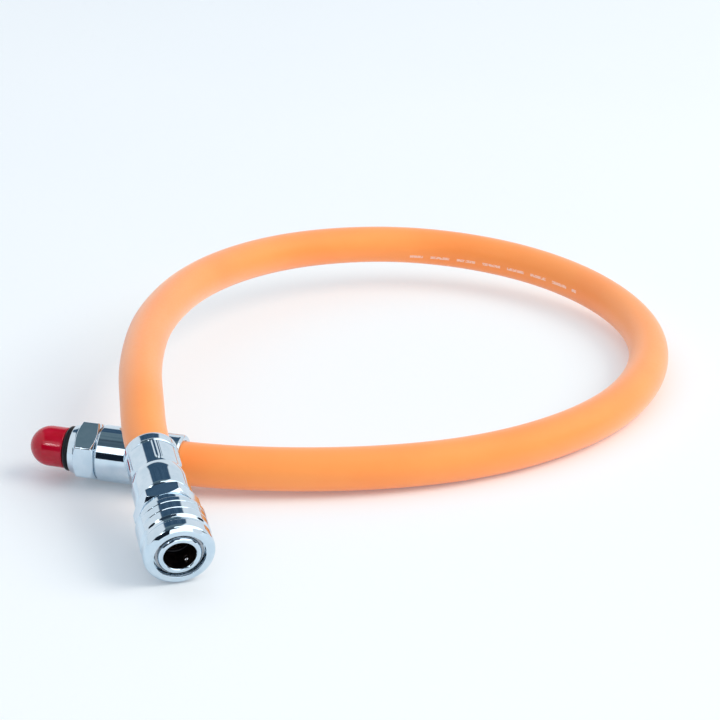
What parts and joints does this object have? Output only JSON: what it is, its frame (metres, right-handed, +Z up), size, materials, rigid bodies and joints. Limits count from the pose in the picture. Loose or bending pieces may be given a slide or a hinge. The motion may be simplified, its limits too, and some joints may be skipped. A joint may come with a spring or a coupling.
{
  "type": "quick-release air hose",
  "caption": "Short rubber hose in one loop with a spring-sleeve quick-release coupler on one end and a capped threaded port stud on the other.",
  "frame": {"origin": "on the surface the hose lies on, under the middle of the box round the two end fittings", "axes": "+Z up; the coupler's mouth looks along -Y and 13 degrees down; the loop of hose lies towards +X and +Y"},
  "size_m": [0.2146, 0.2125, 0.0328],
  "materials": {
    "chrome": "bright polished",
    "spring_steel": "drawn wire",
    "ball_steel": "ground and polished",
    "brass": "turned",
    "seal_rubber": "moulded, satin",
    "orange_rubber": "smooth extruded, satin",
    "braid_yarn": "braided",
    "liner_rubber": "matt",
    "black_acetal": "moulded, matt",
    "red_vinyl": "dipped, glossy"
  },
  "bodies": {
    "hose": {"coupler_body": "chrome", "sleeve_spring": "spring_steel", "sleeve_clip": "spring_steel", "nipple_seal": "seal_rubber", "valve_spring": "spring_steel", "valve_guide": "black_acetal", "coupler_stem": "brass", "stem_seal": "seal_rubber", "coupler_ferrule": "chrome", "hose_cover": "orange_rubber", "hose_braid": "braid_yarn", "hose_liner": "liner_rubber", "stud_ferrule": "chrome", "port_stud": "chrome", "port_seal": "seal_rubber"},
    "sleeve": {"sliding_sleeve": "chrome"},
    "ball_1": {"locking_ball_1": "ball_steel"},
    "ball_2": {"locking_ball_2": "ball_steel"},
    "ball_3": {"locking_ball_3": "ball_steel"},
    "valve": {"valve_pin": "black_acetal", "valve_seal": "seal_rubber"},
    "cap": {"stud_cap": "red_vinyl"}
  },
  "joints": [
    {"name": "sleeve_slide", "type": "slide", "parent": "hose", "child": "sleeve", "axis": [0, 0.9744, 0.225], "range_m": [0, 0.003], "stiffness_N_per_m": 600, "springref_m": -0.003, "deforming": ["sleeve_spring"]},
    {"name": "ball_1_slide", "type": "slide", "parent": "hose", "child": "ball_1", "axis": [0.515, 0.1928, -0.8352], "range_m": [0, 0.0005]},
    {"name": "ball_2_slide", "type": "slide", "parent": "hose", "child": "ball_2", "axis": [-0.9998, 0.0039, -0.017], "range_m": [0, 0.0005]},
    {"name": "ball_3_slide", "type": "slide", "parent": "hose", "child": "ball_3", "axis": [0.4848, -0.1967, 0.8522], "range_m": [0, 0.0005]},
    {"name": "valve_push", "type": "slide", "parent": "hose", "child": "valve", "axis": [0, 0.9744, 0.225], "range_m": [0, 0.0015], "stiffness_N_per_m": 300, "springref_m": -0.002, "deforming": ["valve_spring"]},
    {"name": "cap_pull", "type": "slide", "parent": "hose", "child": "cap", "axis": [-0.8808, 0.4723, 0.0325], "range_m": [0, 0.014]}
  ],
  "couplings": [
    {"joint": "ball_1_slide", "follows": "sleeve_slide", "ratio": 0.1666},
    {"joint": "ball_2_slide", "follows": "sleeve_slide", "ratio": 0.1666},
    {"joint": "ball_3_slide", "follows": "sleeve_slide", "ratio": 0.1666}
  ]
}
